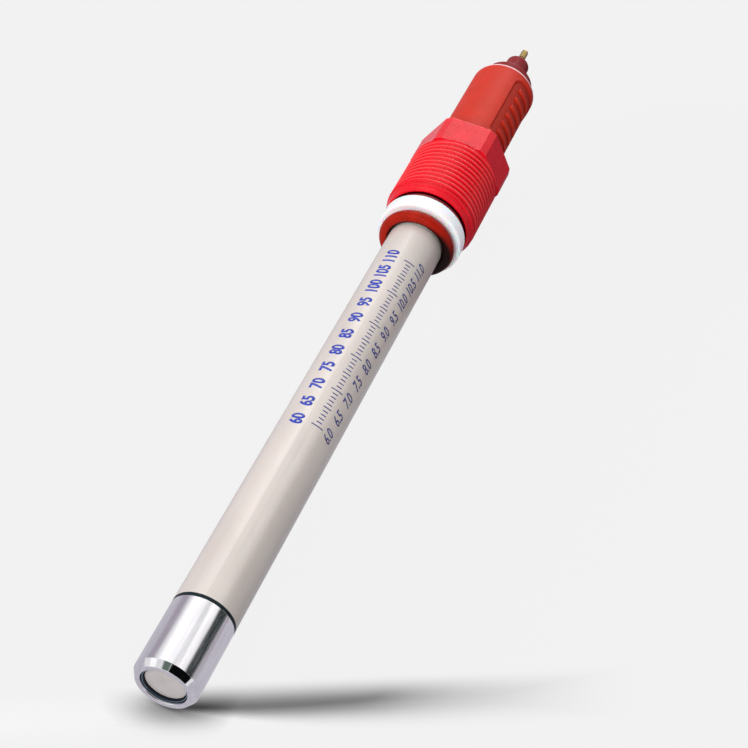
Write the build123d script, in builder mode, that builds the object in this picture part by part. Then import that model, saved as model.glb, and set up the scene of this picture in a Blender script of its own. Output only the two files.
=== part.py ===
"""Industrial pH electrode: a 12 mm plastic shaft with a flat glass membrane behind a steel
tip sleeve, a PG 13.5 screw-in cap that turns freely on its head, and a coaxial plug.

The electrode lies on level ground. The chamfer edge of its tip sleeve and the first full
crest of its thread touch the ground, so its axis climbs gently from the tip to the head.
The origin is on the ground below the middle of its length, +X runs from the tip towards
the plug and +Z is up. One hexagon flat faces straight up, and angles round the axis are
counted from there, towards -Y.
"""

from build123d import *

import os
from math import atan2, cos, floor, radians, sin

# Shaft, millimetres
shaft_diameter = 12.0
shaft_wall = 1.5
insertion_length = 121.2
shaft_in_head = 21.5

# Tip: sleeve, window and reference junction
sleeve_length = 15.2
sleeve_wall = 0.7
tip_face_diameter = 10.4
tip_chamfer_length = 1.3
window_diameter = 8.6
window_depth = 0.95
lip_thickness = 1.6
seal_depth = 0.5
seal_length = 2.0
junction_width = 0.7
port_diameter = 0.5
port_count = 6

# Glass stem with its flat membrane
stem_foot_diameter = 7.9
stem_foot_length = 6.0
stem_taper_length = 3.0
stem_diameter = 6.0
stem_wall = 0.7
stem_length = 103.0
membrane_thickness = 0.5
membrane_edge_radius = 0.3

# Measuring side: buffer, silver element and bung
buffer_length = 78.0
element_wire_diameter = 1.0
element_coat_diameter = 1.6
element_depth = 19.0
element_coat_length = 18.0
element_tail = 4.0
bung_plug_length = 6.0
bung_flange = 2.0

# Reference side: electrolyte, silver element and bung
reference_radius = 3.75
reference_wire_diameter = 0.7
reference_coat_diameter = 1.1
reference_coat_length = 20.0
reference_coat_depth = 20.0
reference_tail = 6.0
chamber_bung_length = 6.0
stem_above_chamber = 4.0

# Seal, rings and the cap that turns
o_ring_section = 2.62
o_ring_squash = 0.03
o_ring_groove_depth = 0.2
slip_ring_diameter = 18.6
slip_ring_length = 3.3
slip_ring_chamfer = 0.4
collar_diameter = 17.5
collar_length = 1.3
collar_edge = 0.2
journal_diameter = 13.8
nose_diameter = 18.5
lead_in_length = 2.6
thread_diameter = 20.4
thread_length = 15.7
thread_pitch = 1.411
thread_depth = 0.62
thread_crest_width = 0.26
thread_root_width = 0.16
thread_run_out = 0.5
hex_across_flats = 19.0
hex_corner_diameter = 21.0
hex_length = 8.3
hex_chamfer = 0.4
cap_bore_chamfer = 0.3

# Head housing and its label panel
housing_diameter = 15.2
housing_wall = 2.0
housing_length = 27.15
housing_edge_radius = 0.4
panel_start = 2.0
panel_length = 23.1
panel_width = 10.8
panel_corner_radius = 2.6
panel_depth = 0.35
panel_angle = 71.0
rib_count = 5
rib_pitch = 3.6
rib_width = 0.9
rib_height = 0.25
rib_span = 5.6

# Potting, plug and contacts
potting_length = 22.0
plug_disc_diameter = 11.9
plug_disc_height = 3.75
plug_disc_edge = 0.3
plug_skirt_length = 3.0
neck_diameter = 5.6
neck_length = 7.8
neck_edge_radius = 0.3
pin_shank_diameter = 1.44
pin_head_diameter = 1.68
pin_shank_length = 3.0
pin_head_length = 3.5
pin_flange_diameter = 3.6
pin_flange_thickness = 1.4
pin_root_length = 2.0
contact_ring_diameter = 9.4
contact_ring_width = 1.2
contact_ring_height = 1.6
contact_ring_proud = 0.4
contact_tail_diameter = 0.8
contact_tail_length = 3.0

# Leads
measuring_lead_diameter = 1.8
reference_lead_diameter = 1.1
joint_sleeve_wall = 0.4
joint_sleeve_length = 8.0
joint_overlap = 2.0

# Clearances
bond_gap = 0.05
turning_clearance = 0.08
side_clearance = 0.05
cap_end_play = 0.3

# Radii
shaft_radius = shaft_diameter / 2
shaft_bore = shaft_radius - shaft_wall
sleeve_bore = shaft_radius - sleeve_wall
spigot_radius = sleeve_bore - bond_gap
window_radius = window_diameter / 2
stem_foot_radius = stem_foot_diameter / 2
stem_radius = stem_diameter / 2
stem_bore = stem_radius - stem_wall
stem_foot_bore = stem_foot_radius - stem_wall
element_wire_radius = element_wire_diameter / 2
element_coat_radius = element_coat_diameter / 2
reference_wire_radius = reference_wire_diameter / 2
reference_coat_radius = reference_coat_diameter / 2
o_ring_radius = o_ring_section / 2
groove_radius = shaft_radius - o_ring_groove_depth
journal_radius = journal_diameter / 2
cap_bore = journal_radius + turning_clearance
thread_radius = thread_diameter / 2
thread_root_radius = thread_radius - thread_depth
groove_width = thread_pitch - thread_crest_width
groove_count = 1 + floor((thread_length - thread_run_out) / thread_pitch)
housing_radius = housing_diameter / 2
cavity_radius = housing_radius - housing_wall
neck_radius = neck_diameter / 2
pin_shank_radius = pin_shank_diameter / 2
pin_head_radius = pin_head_diameter / 2
contact_ring_radius = contact_ring_diameter / 2
contact_tail_radius = contact_tail_diameter / 2
measuring_lead_radius = measuring_lead_diameter / 2
reference_lead_radius = reference_lead_diameter / 2

# Stations along the axis, counted from the tip face
seal_shoulder = lip_thickness + bond_gap
seal_end = seal_shoulder + seal_length
spigot_start = seal_end + bond_gap
junction_end = sleeve_length + junction_width
foot_end = window_depth + stem_foot_length
taper_end = foot_end + stem_taper_length
stem_end = window_depth + stem_length
buffer_start = window_depth + membrane_thickness + bond_gap
buffer_end = buffer_start + buffer_length
element_start = window_depth + element_depth
element_coat_end = element_start + element_coat_length
bung_seat = stem_end + bond_gap
bung_end = bung_seat + bung_flange
element_end = bung_end + element_tail
gel_start = spigot_start + bond_gap
chamber_bung_end = stem_end - stem_above_chamber
chamber_bung_start = chamber_bung_end - chamber_bung_length
gel_end = chamber_bung_start - bond_gap
reference_coat_end = gel_end - reference_coat_depth
reference_coat_start = reference_coat_end - reference_coat_length
reference_end = chamber_bung_end + reference_tail
o_ring_centre = insertion_length + o_ring_radius
slip_ring_start = insertion_length + o_ring_section + side_clearance
slip_ring_end = slip_ring_start + slip_ring_length
collar_start = slip_ring_end + side_clearance
collar_end = collar_start + collar_length
shaft_end = collar_end + shaft_in_head
cap_start = collar_end + cap_end_play
lead_in_end = cap_start + lead_in_length
hex_start = lead_in_end + thread_length
cap_end = hex_start + hex_length
shoulder = cap_end + cap_end_play
housing_end = shoulder + housing_length
potting_start = shaft_end + bond_gap
potting_end = potting_start + potting_length
skirt_start = housing_end - plug_skirt_length
plug_top = housing_end + plug_disc_height
neck_end = plug_top + neck_length
pin_head_start = neck_end + pin_shank_length
pin_end = pin_head_start + pin_head_length
pin_flange_start = skirt_start - bond_gap - pin_flange_thickness
pin_root = pin_flange_start - pin_root_length
contact_seat = plug_top + contact_ring_proud - contact_ring_height
contact_tail_end = skirt_start - contact_tail_length

# How the electrode lies: the two edges that touch the ground give the tilt of the axis
tilt = atan2(thread_radius - shaft_radius, lead_in_end - tip_chamfer_length)
tip_height = shaft_radius * cos(tilt) - tip_chamfer_length * sin(tilt)
low_reach = -tip_face_diameter / 2 * sin(tilt)
high_reach = (pin_end - pin_head_radius) * cos(tilt) + pin_head_radius
tip_centre = Vector(-(low_reach + high_reach) / 2, 0, tip_height)
along = Vector(cos(tilt), 0, sin(tilt))
upward = Vector(-sin(tilt), 0, cos(tilt))

electrode_axis = Axis(tip_centre, along)
section_plane = Plane(origin=tip_centre, x_dir=along, z_dir=along.cross(upward))
across = Plane(origin=tip_centre, x_dir=upward, z_dir=along)
reference_place = (-reference_radius, 0)


def radial_plane(station, angle, radius=0.0):
    """Plane at a station and an angle round the axis, facing outwards at a radius."""
    outward = upward * cos(radians(angle)) + across.y_dir * sin(radians(angle))
    origin = tip_centre + along * station + outward * radius
    return Plane(origin=origin, x_dir=along, z_dir=outward)


def ring_section(start, end, inner, outer):
    """Section of a plain ring or rod, in stations along the axis and radii."""
    Polygon((start, inner), (end, inner), (end, outer), (start, outer), align=None)


def end_edges(part, end):
    """Edges in the plane at one end of a part: 0 towards the tip, -1 towards the plug."""
    return part.edges().group_by(electrode_axis)[end]


# Steel sleeve with its inward lip, which guards the membrane
with BuildPart() as tip_sleeve:
    with BuildSketch(section_plane):
        Polygon(
            (0, window_radius),
            (0, tip_face_diameter / 2),
            (tip_chamfer_length, shaft_radius),
            (sleeve_length, shaft_radius),
            (sleeve_length, sleeve_bore),
            (lip_thickness, sleeve_bore),
            (lip_thickness, window_radius),
            align=None,
        )
    revolve(axis=electrode_axis)

# Dark elastomer seal round the membrane, with a nose in the sleeve's window
with BuildPart() as membrane_seal:
    with BuildSketch(section_plane):
        ring_section(seal_depth, seal_shoulder, stem_foot_radius + bond_gap, window_radius - bond_gap)
        ring_section(seal_shoulder, seal_end, stem_foot_radius + bond_gap, spigot_radius)
    revolve(axis=electrode_axis)

# Blown glass stem, closed at its wide foot by the flat membrane
with BuildPart() as glass_stem:
    with BuildSketch(section_plane):
        Polygon(
            (window_depth, 0),
            (window_depth, stem_foot_radius),
            (foot_end, stem_foot_radius),
            (taper_end, stem_radius),
            (stem_end, stem_radius),
            (stem_end, stem_bore),
            (taper_end, stem_bore),
            (foot_end, stem_foot_bore),
            (window_depth + membrane_thickness, stem_foot_bore),
            (window_depth + membrane_thickness, 0),
            align=None,
        )
    revolve(axis=electrode_axis)
    fillet(end_edges(glass_stem, 0), membrane_edge_radius)

# Porous ring between the sleeve and the shaft, where the electrolyte meets the sample
with BuildPart() as junction_ring:
    with BuildSketch(section_plane):
        ring_section(sleeve_length, junction_end, spigot_radius + bond_gap, shaft_radius)
    revolve(axis=electrode_axis)

# Plastic shaft: a spigot inside the sleeve, ports below the porous ring and a groove for
# the O-ring
with BuildPart() as shaft:
    with BuildSketch(section_plane):
        ring_section(spigot_start, junction_end, shaft_bore, spigot_radius)
        ring_section(junction_end, insertion_length, shaft_bore, shaft_radius)
        ring_section(insertion_length, slip_ring_start, shaft_bore, groove_radius)
        ring_section(slip_ring_start, shaft_end, shaft_bore, shaft_radius)
    revolve(axis=electrode_axis)
    for port in range(port_count):
        with BuildSketch(radial_plane(sleeve_length + junction_width / 2, port * 360 / port_count)):
            Circle(port_diameter / 2)
        extrude(amount=shaft_radius, mode=Mode.SUBTRACT)

# Inner buffer that fills the stem behind the membrane, round the measuring element
with BuildPart() as inner_buffer:
    with BuildSketch(section_plane):
        Polygon(
            (buffer_start, 0),
            (buffer_start, stem_foot_bore - bond_gap),
            (foot_end, stem_foot_bore - bond_gap),
            (taper_end, stem_bore - bond_gap),
            (buffer_end, stem_bore - bond_gap),
            (buffer_end, element_wire_radius + bond_gap),
            (element_coat_end + bond_gap, element_wire_radius + bond_gap),
            (element_coat_end + bond_gap, element_coat_radius + bond_gap),
            (element_start - bond_gap, element_coat_radius + bond_gap),
            (element_start - bond_gap, 0),
            align=None,
        )
    revolve(axis=electrode_axis)

# Silver wire of the measuring side, coated at its lower end
with BuildPart() as measuring_element:
    with BuildSketch(section_plane):
        ring_section(element_start, element_coat_end, 0, element_coat_radius)
        ring_section(element_coat_end, element_end, 0, element_wire_radius)
    revolve(axis=electrode_axis)

# Flanged bung that closes the stem and holds the measuring element
with BuildPart() as stem_bung:
    with BuildSketch(section_plane):
        ring_section(bung_seat - bung_plug_length, bung_seat, element_wire_radius + bond_gap, stem_bore - bond_gap)
        ring_section(bung_seat, bung_end, element_wire_radius + bond_gap, stem_radius)
    revolve(axis=electrode_axis)

# Solid reference electrolyte between the stem and the shaft
with BuildPart() as reference_gel:
    with BuildSketch(section_plane):
        Polygon(
            (gel_start, stem_foot_radius + bond_gap),
            (foot_end, stem_foot_radius + bond_gap),
            (taper_end, stem_radius + bond_gap),
            (gel_end, stem_radius + bond_gap),
            (gel_end, shaft_bore - bond_gap),
            (gel_start, shaft_bore - bond_gap),
            align=None,
        )
    revolve(axis=electrode_axis)
    with BuildSketch(across.offset(reference_coat_start - bond_gap)):
        with Locations(reference_place):
            Circle(reference_coat_radius + bond_gap)
    extrude(amount=reference_coat_length + 2 * bond_gap, mode=Mode.SUBTRACT)
    with BuildSketch(across.offset(reference_coat_end)):
        with Locations(reference_place):
            Circle(reference_wire_radius + bond_gap)
    extrude(amount=gel_end - reference_coat_end, mode=Mode.SUBTRACT)

# Silver wire of the reference side, coated at its lower end
with BuildPart() as reference_element:
    with BuildSketch(across.offset(reference_coat_start)):
        with Locations(reference_place):
            Circle(reference_coat_radius)
    extrude(amount=reference_coat_length)
    with BuildSketch(across.offset(reference_coat_end)):
        with Locations(reference_place):
            Circle(reference_wire_radius)
    extrude(amount=reference_end - reference_coat_end)

# Ring bung that closes the electrolyte chamber and holds the reference element
with BuildPart() as chamber_bung:
    with BuildSketch(across.offset(chamber_bung_start)):
        Circle(shaft_bore - bond_gap)
        Circle(stem_radius + bond_gap, mode=Mode.SUBTRACT)
        with Locations(reference_place):
            Circle(reference_wire_radius + bond_gap, mode=Mode.SUBTRACT)
    extrude(amount=chamber_bung_length)

# Insulated lead from the measuring element to the pin
with BuildPart() as measuring_lead:
    with BuildSketch(section_plane):
        ring_section(element_end, pin_root, 0, measuring_lead_radius)
    revolve(axis=electrode_axis)

# Shrunk sleeve over the joint between the lead and the silver wire
with BuildPart() as joint_sleeve:
    joint_start = element_end - joint_overlap
    with BuildSketch(section_plane):
        ring_section(
            joint_start,
            element_end,
            element_wire_radius + bond_gap,
            measuring_lead_radius + bond_gap + joint_sleeve_wall,
        )
        ring_section(
            element_end,
            joint_start + joint_sleeve_length,
            measuring_lead_radius + bond_gap,
            measuring_lead_radius + bond_gap + joint_sleeve_wall,
        )
    revolve(axis=electrode_axis)

# Insulated lead from the reference element to the contact ring
with BuildPart() as reference_lead:
    with BuildSketch(across.offset(reference_end)):
        with Locations(reference_place):
            Circle(reference_lead_radius)
    extrude(amount=contact_tail_end - reference_end)

# O-ring gripped in the shaft's groove, flattened where it seats
with BuildPart() as o_ring:
    with BuildSketch(section_plane):
        with Locations((o_ring_centre, groove_radius + o_ring_radius - o_ring_squash)):
            Circle(o_ring_radius)
        with Locations((o_ring_centre, groove_radius)):
            Rectangle(o_ring_section, o_ring_section, align=(Align.CENTER, Align.MAX), mode=Mode.SUBTRACT)
    revolve(axis=electrode_axis)

# White slip ring that presses on the O-ring and turns on the shaft
with BuildPart() as slip_ring:
    with BuildSketch(section_plane):
        ring_section(slip_ring_start, slip_ring_end, shaft_radius + turning_clearance, slip_ring_diameter / 2)
    revolve(axis=electrode_axis)
    chamfer(end_edges(slip_ring, 0).sort_by(SortBy.RADIUS)[-1], slip_ring_chamfer)

# Collar bonded to the shaft, which keeps the cap on its journal and takes its thrust
with BuildPart() as retaining_collar:
    with BuildSketch(section_plane):
        ring_section(collar_start, collar_end, shaft_radius + bond_gap, collar_diameter / 2)
    revolve(axis=electrode_axis)
    chamfer(end_edges(retaining_collar, 0).sort_by(SortBy.RADIUS)[-1], collar_edge)
    chamfer(end_edges(retaining_collar, -1).sort_by(SortBy.RADIUS)[-1], collar_edge)

# Screw-in cap: lead-in and thread, whose turns are rings one pitch apart, and a hexagon with
# turned-down corners
with BuildPart() as screw_cap:
    with BuildSketch(section_plane):
        Polygon(
            (cap_start, cap_bore),
            (cap_start, nose_diameter / 2),
            (lead_in_end, thread_radius),
            (hex_start, thread_radius),
            (hex_start, cap_bore),
            align=None,
        )
        first_groove = lead_in_end - groove_width / 2
        with Locations([(first_groove + turn * thread_pitch, thread_root_radius) for turn in range(groove_count)]):
            Polygon(
                (-thread_root_width / 2, 0),
                (thread_root_width / 2, 0),
                (groove_width / 2, thread_depth),
                (-groove_width / 2, thread_depth),
                align=None,
                mode=Mode.SUBTRACT,
            )
    revolve(axis=electrode_axis)
    chamfer(end_edges(screw_cap, 0).sort_by(SortBy.RADIUS)[0], cap_bore_chamfer)
    with BuildSketch(across.offset(hex_start)):
        RegularPolygon(hex_across_flats / 2, 6, major_radius=False, rotation=30)
        Circle(hex_corner_diameter / 2, mode=Mode.INTERSECT)
        Circle(cap_bore, mode=Mode.SUBTRACT)
    extrude(amount=hex_length)
    chamfer(end_edges(screw_cap, -1), hex_chamfer)

# Cutter for the sunk label panel: a rounded window through a thin shell of the housing,
# less the plain ribs that stand on the panel's floor
with BuildPart() as panel_cutter:
    panel_middle = shoulder + panel_start + panel_length / 2
    panel_floor = housing_radius - panel_depth
    with BuildSketch(radial_plane(panel_middle, panel_angle)):
        RectangleRounded(panel_length, panel_width, panel_corner_radius)
    extrude(amount=housing_diameter)
    with BuildSketch(section_plane):
        ring_section(shoulder, housing_end, panel_floor, housing_diameter)
    revolve(axis=electrode_axis, mode=Mode.INTERSECT)
    with BuildSketch(radial_plane(panel_middle, panel_angle)):
        with GridLocations(rib_pitch, 1, rib_count, 1):
            SlotOverall(rib_span, rib_width, rotation=90)
    extrude(amount=panel_floor + rib_height, mode=Mode.SUBTRACT)

# Head housing: the journal that the cap turns on, and the barrel with its label panel
with BuildPart() as head_housing:
    with BuildSketch(section_plane):
        ring_section(collar_end, shaft_end, shaft_radius + bond_gap, journal_radius)
        ring_section(shaft_end, shoulder, cavity_radius, journal_radius)
        ring_section(shoulder, housing_end, cavity_radius, housing_radius)
    revolve(axis=electrode_axis)
    fillet(end_edges(head_housing, -1).sort_by(SortBy.RADIUS)[-1], housing_edge_radius)
    add(panel_cutter.part, mode=Mode.SUBTRACT)

# Potting that fixes both leads in the housing
with BuildPart() as potting:
    with BuildSketch(across.offset(potting_start)):
        Circle(cavity_radius - bond_gap)
        Circle(measuring_lead_radius + bond_gap, mode=Mode.SUBTRACT)
        with Locations(reference_place):
            Circle(reference_lead_radius + bond_gap, mode=Mode.SUBTRACT)
    extrude(amount=potting_length)

# Plug body: the skirt in the housing, the disc on it and the neck round the pin
with BuildPart() as head_plug:
    with BuildSketch(section_plane):
        ring_section(skirt_start, housing_end, pin_shank_radius + bond_gap, cavity_radius - bond_gap)
        ring_section(housing_end, plug_top, pin_shank_radius + bond_gap, plug_disc_diameter / 2)
        ring_section(plug_top, neck_end, pin_shank_radius + bond_gap, neck_radius)
    revolve(axis=electrode_axis)
    fillet(end_edges(head_plug, -1).sort_by(SortBy.RADIUS)[-1], neck_edge_radius)
    disc_rim = head_plug.edges().filter_by(GeomType.CIRCLE).sort_by(SortBy.RADIUS)[-2:]
    chamfer(disc_rim.sort_by(electrode_axis)[-1], plug_disc_edge)
    with BuildSketch(section_plane):
        ring_section(
            contact_seat - bond_gap,
            neck_end,
            contact_ring_radius - contact_ring_width - bond_gap,
            contact_ring_radius + bond_gap,
        )
    revolve(axis=electrode_axis, mode=Mode.SUBTRACT)
    with BuildSketch(across.offset(skirt_start)):
        with Locations(reference_place):
            Circle(contact_tail_radius + bond_gap)
    extrude(amount=contact_seat - skirt_start, mode=Mode.SUBTRACT)

# Gold-plated pin of the measuring side, held by its flange below the plug
with BuildPart() as contact_pin:
    with BuildSketch(section_plane):
        ring_section(pin_root, pin_flange_start, 0, pin_shank_radius)
        ring_section(pin_flange_start, skirt_start - bond_gap, 0, pin_flange_diameter / 2)
        ring_section(skirt_start - bond_gap, pin_head_start, 0, pin_shank_radius)
        ring_section(pin_head_start, pin_end - pin_head_radius, 0, pin_head_radius)
        with Locations((pin_end - pin_head_radius, 0)):
            Circle(pin_head_radius)
        with Locations((pin_root, 0)):
            Rectangle(pin_end - pin_root, pin_end, align=(Align.MIN, Align.MAX), mode=Mode.SUBTRACT)
    revolve(axis=electrode_axis)

# Contact ring of the reference side, let into the disc round the neck, with its tail
with BuildPart() as contact_ring:
    with BuildSketch(section_plane):
        ring_section(
            contact_seat,
            contact_seat + contact_ring_height,
            contact_ring_radius - contact_ring_width,
            contact_ring_radius,
        )
    revolve(axis=electrode_axis)
    with BuildSketch(across.offset(contact_tail_end)):
        with Locations(reference_place):
            Circle(contact_tail_radius)
    extrude(amount=contact_seat - contact_tail_end)

pieces = {
    "tip_sleeve": tip_sleeve,
    "membrane_seal": membrane_seal,
    "glass_stem": glass_stem,
    "junction_ring": junction_ring,
    "shaft": shaft,
    "inner_buffer": inner_buffer,
    "measuring_element": measuring_element,
    "stem_bung": stem_bung,
    "reference_gel": reference_gel,
    "reference_element": reference_element,
    "chamber_bung": chamber_bung,
    "measuring_lead": measuring_lead,
    "joint_sleeve": joint_sleeve,
    "reference_lead": reference_lead,
    "o_ring": o_ring,
    "slip_ring": slip_ring,
    "retaining_collar": retaining_collar,
    "screw_cap": screw_cap,
    "head_housing": head_housing,
    "potting": potting,
    "head_plug": head_plug,
    "contact_pin": contact_pin,
    "contact_ring": contact_ring,
}

os.makedirs("parts", exist_ok=True)
for name, piece in pieces.items():
    piece.part.label = name
    export_step(piece.part, f"parts/{name}.step")
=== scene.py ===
"""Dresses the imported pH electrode: turned and moulded pieces with soft edges, a cut thread on
the cap, a printed depth scale, materials for every piece, and a pale studio."""

import cmath
import math
from contextlib import contextmanager

import bmesh
import bpy
import numpy as np
from bpy.props import FloatProperty, FloatVectorProperty, IntProperty, PointerProperty
from mathutils import Matrix, Vector


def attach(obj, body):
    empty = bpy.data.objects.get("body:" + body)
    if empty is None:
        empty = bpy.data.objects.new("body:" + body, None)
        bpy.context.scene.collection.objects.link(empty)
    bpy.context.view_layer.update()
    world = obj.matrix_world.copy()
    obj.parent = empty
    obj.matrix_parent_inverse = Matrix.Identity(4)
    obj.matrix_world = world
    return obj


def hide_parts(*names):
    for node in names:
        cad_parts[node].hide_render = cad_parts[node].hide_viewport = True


bl_info = {
    "name": "Electrode looks",
    "version": (1, 0, 0),
    "blender": (4, 5, 0),
    "location": "3D View > Sidebar > Electrode",
    "description": "Builds the visible pieces, materials and studio of a screw-in pH electrode",
    "category": "Object",
}

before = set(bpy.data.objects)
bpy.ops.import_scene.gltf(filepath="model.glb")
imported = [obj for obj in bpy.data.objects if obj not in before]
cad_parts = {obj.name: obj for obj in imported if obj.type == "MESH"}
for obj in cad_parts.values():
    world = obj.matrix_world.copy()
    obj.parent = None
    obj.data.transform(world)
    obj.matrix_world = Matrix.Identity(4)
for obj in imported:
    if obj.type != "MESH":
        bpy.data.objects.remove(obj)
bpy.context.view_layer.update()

MM = 0.001

# The electrode's axis: the centre of the tip face and the climb towards the head
TIP = Vector((-0.1003240, 0.0, 0.0059549))
CLIMB = math.atan2(4.2, 130.12)
PLACE = Matrix.Translation(TIP) @ Matrix.Rotation(-CLIMB, 4, "Y")

# Angle round the axis of the side that faces the camera, in degrees from straight up
FACING = 14.2

# Turn on the floor of the picture's level direction, and the height of the floor lamp
BAND_TURN = math.radians(-61.1)
LOW = math.radians(12.5)

# Stations along the axis, in millimetres from the tip face
RING_START = 123.87
RING_END = 127.17
COLLAR_START = 127.22
COLLAR_END = 128.52
CAP_START = 128.82
HEX_START = 147.12
SHAFT_END = 150.02
CAP_END = 155.42
SHOULDER = 155.72
HOUSING_END = 182.87
PLUG_TOP = 186.62
NECK_END = 194.42

# Radii that neighbours share, in millimetres
RING_BORE = 6.08
JOURNAL_BORE = 6.05
JOURNAL = 6.9
CAP_BORE = 6.98

# Colours of painted highlights: one along a thread's crest, one on a barrel's rim
CREST_HIGHLIGHT = (0.93, 0.062, 0.068)
RIM_HIGHLIGHT = (0.95, 0.58, 0.60)


def length_setting(name, description, millimetres):
    return FloatProperty(name=name, description=description, default=millimetres * MM, unit="LENGTH")


def colour_setting(name, description, *colour):
    settings = dict(default=colour, subtype="COLOR", size=3)
    return FloatVectorProperty(name=name, description=description, **settings)


def strength_setting(name, description, value):
    return FloatProperty(name=name, description=description, default=value, min=0)


class ElectrodeSizes(bpy.types.PropertyGroup):
    """Sizes that shape the visible pieces, as the solids have them."""

    shaft_diameter: length_setting("Shaft", "Diameter of the shaft", 12)
    sleeve_length: length_setting("Sleeve length", "Length of the steel tip sleeve", 15.2)
    face_diameter: length_setting("Face", "Diameter of the tip face inside its chamfer", 10.4)
    window_diameter: length_setting("Window", "Diameter of the opening in front of the membrane", 8.6)
    slip_ring_diameter: length_setting("Slip ring", "Outer diameter of the white ring", 18.6)
    thread_diameter: length_setting("Thread", "Major diameter of the cap's thread", 20.39)
    thread_depth: length_setting("Thread depth", "Height of the thread's ridges", 0.68)
    thread_pitch: length_setting("Thread pitch", "Advance of the thread in one turn", 1.411)
    hex_across_flats: length_setting("Hexagon", "Distance across the hexagon's flats", 19)
    hex_corner_diameter: length_setting("Hexagon corners", "Diameter the corners are turned down to", 20.99)
    housing_diameter: length_setting("Housing", "Diameter of the head's barrel", 15.2)
    panel_depth: length_setting("Panel depth", "How deep the label panel is sunk", 0.35)
    panel_angle: FloatProperty(
        name="Panel angle",
        description="Direction of the label panel round the axis, from straight up",
        default=math.radians(71),
        subtype="ANGLE",
    )
    rib_count: IntProperty(name="Ribs", description="Plain ribs on the label panel", default=6, min=1)
    rib_pitch: length_setting("Rib pitch", "Distance from rib to rib", 3.3)
    scale_start: length_setting("Scale start", "Station of the scale's first mark", 60)
    scale_step: length_setting("Scale step", "Distance between two marks", 1)
    number_step: length_setting("Number step", "Distance between two numbers", 5)
    scale_count: IntProperty(name="Marks", description="Number of marks in the scale", default=51, min=2)


class ElectrodeColours(bpy.types.PropertyGroup):
    """Main colours of the finishes."""

    steel: colour_setting("Steel", "Polished tip sleeve", 0.80, 0.79, 0.82)
    shaft: colour_setting("Shaft", "Beige shaft plastic", 0.685, 0.615, 0.575)
    ink: colour_setting("Ink", "Bold print of the depth scale", 0.018, 0.042, 0.37)
    fine_ink: colour_setting("Fine ink", "Fine print of the depth scale", 0.018, 0.024, 0.15)
    junction: colour_setting("Junction", "Porous ceramic ring", 0.005, 0.010, 0.013)
    seal: colour_setting("Seal", "Sealing compound round the membrane", 0.006, 0.010, 0.018)
    o_ring: colour_setting("O-ring", "Red elastomer", 0.38, 0.012, 0.004)
    slip_ring: colour_setting("Slip ring", "White bearing plastic", 0.94, 0.92, 0.98)
    collar: colour_setting("Collar", "Retaining collar", 0.22, 0.006, 0.010)
    cap: colour_setting("Cap", "Threaded cap", 0.83, 0.005, 0.018)
    housing: colour_setting("Housing", "Barrel of the head", 0.62, 0.030, 0.012)
    plug: colour_setting("Plug", "Plug body", 0.26, 0.004, 0.008)
    gold: colour_setting("Gold", "Plated contacts", 0.44, 0.30, 0.11)


class StudioSettings(bpy.types.PropertyGroup):
    """Camera, floor and lamps of the studio."""

    lens: FloatProperty(
        name="Lens", description="Focal length for a 36 mm wide frame, in millimetres", default=81.963, min=1
    )
    floor: colour_setting("Floor", "Floor beside the tip", 0.18, 0.18, 0.18)
    sky: strength_setting("Sky", "Strength of the even light all round", 0.30)
    background: strength_setting("Background", "Brightness of the pale background", 0.887)
    key: strength_setting("Key softbox", "Brightness of the large softbox", 1.9)
    fill: strength_setting("Front softbox", "Brightness of the front softbox", 5.4)
    head: strength_setting("Head lamp", "Brightness of the lamp behind the head", 8.0)
    ring: strength_setting("Ring lamp", "Brightness of the white ring's own lamp", 2.6)
    low: strength_setting("Floor lamp", "Brightness of the low lamp for the floor", 1370.0)
    bounce: strength_setting("Bounce", "Light that the floor throws back on the electrode", 0.33)


def rounded(*corners, steps=5, guard=0.03):
    """Closed outline in stations and radii: corners are (station, radius, rounding), millimetres.
    Rows close to the end of each straight run keep the run's shading flat."""
    points = [complex(x, y) for x, y, _ in corners]
    arcs = []
    for i, (here, (_, _, rounding)) in enumerate(zip(points, corners)):
        if rounding <= 0:
            arcs.append([here])
            continue
        before, after = points[i - 1] - here, points[(i + 1) % len(points)] - here
        before, after = before / abs(before), after / abs(after)
        half = abs(cmath.phase(after / before)) / 2
        middle = here + (before + after) / abs(before + after) * rounding / math.sin(half)
        first = here + before * rounding / math.tan(half) - middle
        last = here + after * rounding / math.tan(half) - middle
        sweep = cmath.phase(last / first)
        arcs.append([middle + first * cmath.rect(1, sweep * k / steps) for k in range(steps + 1)])
    outline = []
    for i, arc in enumerate(arcs):
        outline += arc
        run = arcs[(i + 1) % len(arcs)][0] - arc[-1]
        if abs(run) > 4 * guard:
            near = run * guard / abs(run)
            outline += [arc[-1] + near, arc[-1] + run - near]
    return [(p.real, p.imag) for p in outline]


def thicken_rows(outline, start, end, over_radius, step):
    """Adds rows to the outline's long runs between two stations, outside a radius."""
    dense = []
    for i, (x, r) in enumerate(outline):
        dense.append((x, r))
        nx, nr = outline[(i + 1) % len(outline)]
        if min(r, nr) > over_radius and start - 0.5 < min(x, nx) and max(x, nx) < end + 0.5:
            count = int(abs(nx - x) / step)
            dense += [(x + (nx - x) * k / count, r + (nr - r) * k / count) for k in range(1, count)]
    return dense


def all_round(segments):
    return np.linspace(0, 2 * math.pi, segments, endpoint=False)


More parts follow.
